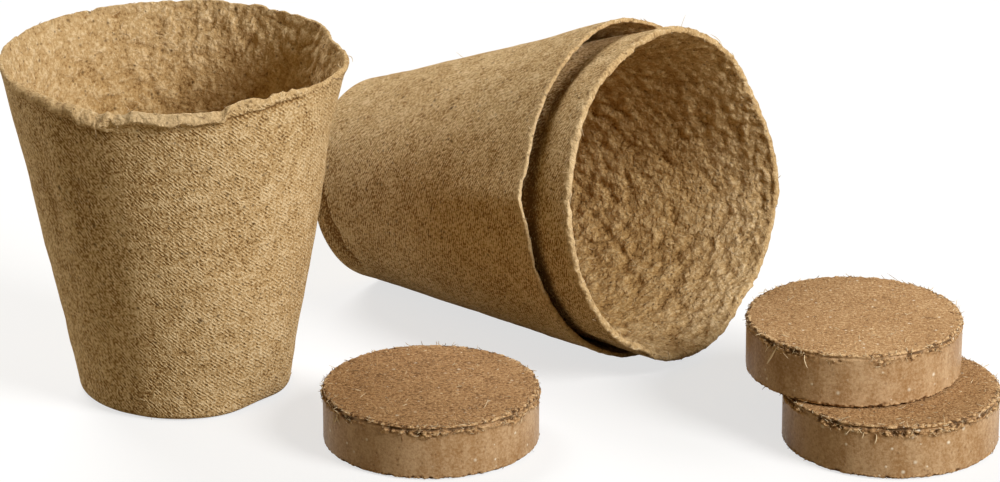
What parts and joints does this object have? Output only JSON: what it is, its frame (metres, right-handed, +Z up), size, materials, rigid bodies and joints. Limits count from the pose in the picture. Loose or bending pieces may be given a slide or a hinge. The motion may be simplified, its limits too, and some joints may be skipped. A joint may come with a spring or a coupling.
{
  "type": "peat pot set",
  "caption": "Tapered round plant pots of pressed peat fibre, standing and nested on their side, with flat pressed coir pellets that swell into potting soil.",
  "frame": {"origin": "on the table, under the middle of the whole set's box", "axes": "+Z up, +X along the row from the standing pot to the pellet stack, -Y towards the pellets in front"},
  "size_m": [0.2286, 0.1506, 0.081],
  "materials": {
    "pressed_peat": "matte",
    "pressed_coir": "matte"
  },
  "bodies": {
    "standing_pot": {"standing_pot": "pressed_peat"},
    "outer_pot": {"outer_pot": "pressed_peat"},
    "inner_pot": {"inner_pot": "pressed_peat"},
    "front_pellet": {"front_pellet": "pressed_coir"},
    "lower_pellet": {"lower_pellet": "pressed_coir"},
    "upper_pellet": {"upper_pellet": "pressed_coir"}
  },
  "joints": [
    {"name": "nested_pots_lift", "type": "slide", "parent": "standing_pot", "child": "inner_pot", "axis": [0, 0, 1], "range_m": [0, 0.1]},
    {"name": "outer_pot_pull", "type": "slide", "parent": "inner_pot", "child": "outer_pot", "axis": [-0.7804, 0.6252, 0], "range_m": [0, 0.075]},
    {"name": "front_pellet_lift", "type": "slide", "parent": "standing_pot", "child": "front_pellet", "axis": [0, 0, 1], "range_m": [0, 0.1]},
    {"name": "pellet_stack_lift", "type": "slide", "parent": "standing_pot", "child": "lower_pellet", "axis": [0, 0, 1], "range_m": [0, 0.1]},
    {"name": "upper_pellet_lift", "type": "slide", "parent": "lower_pellet", "child": "upper_pellet", "axis": [0, 0, 1], "range_m": [0, 0.1]}
  ]
}
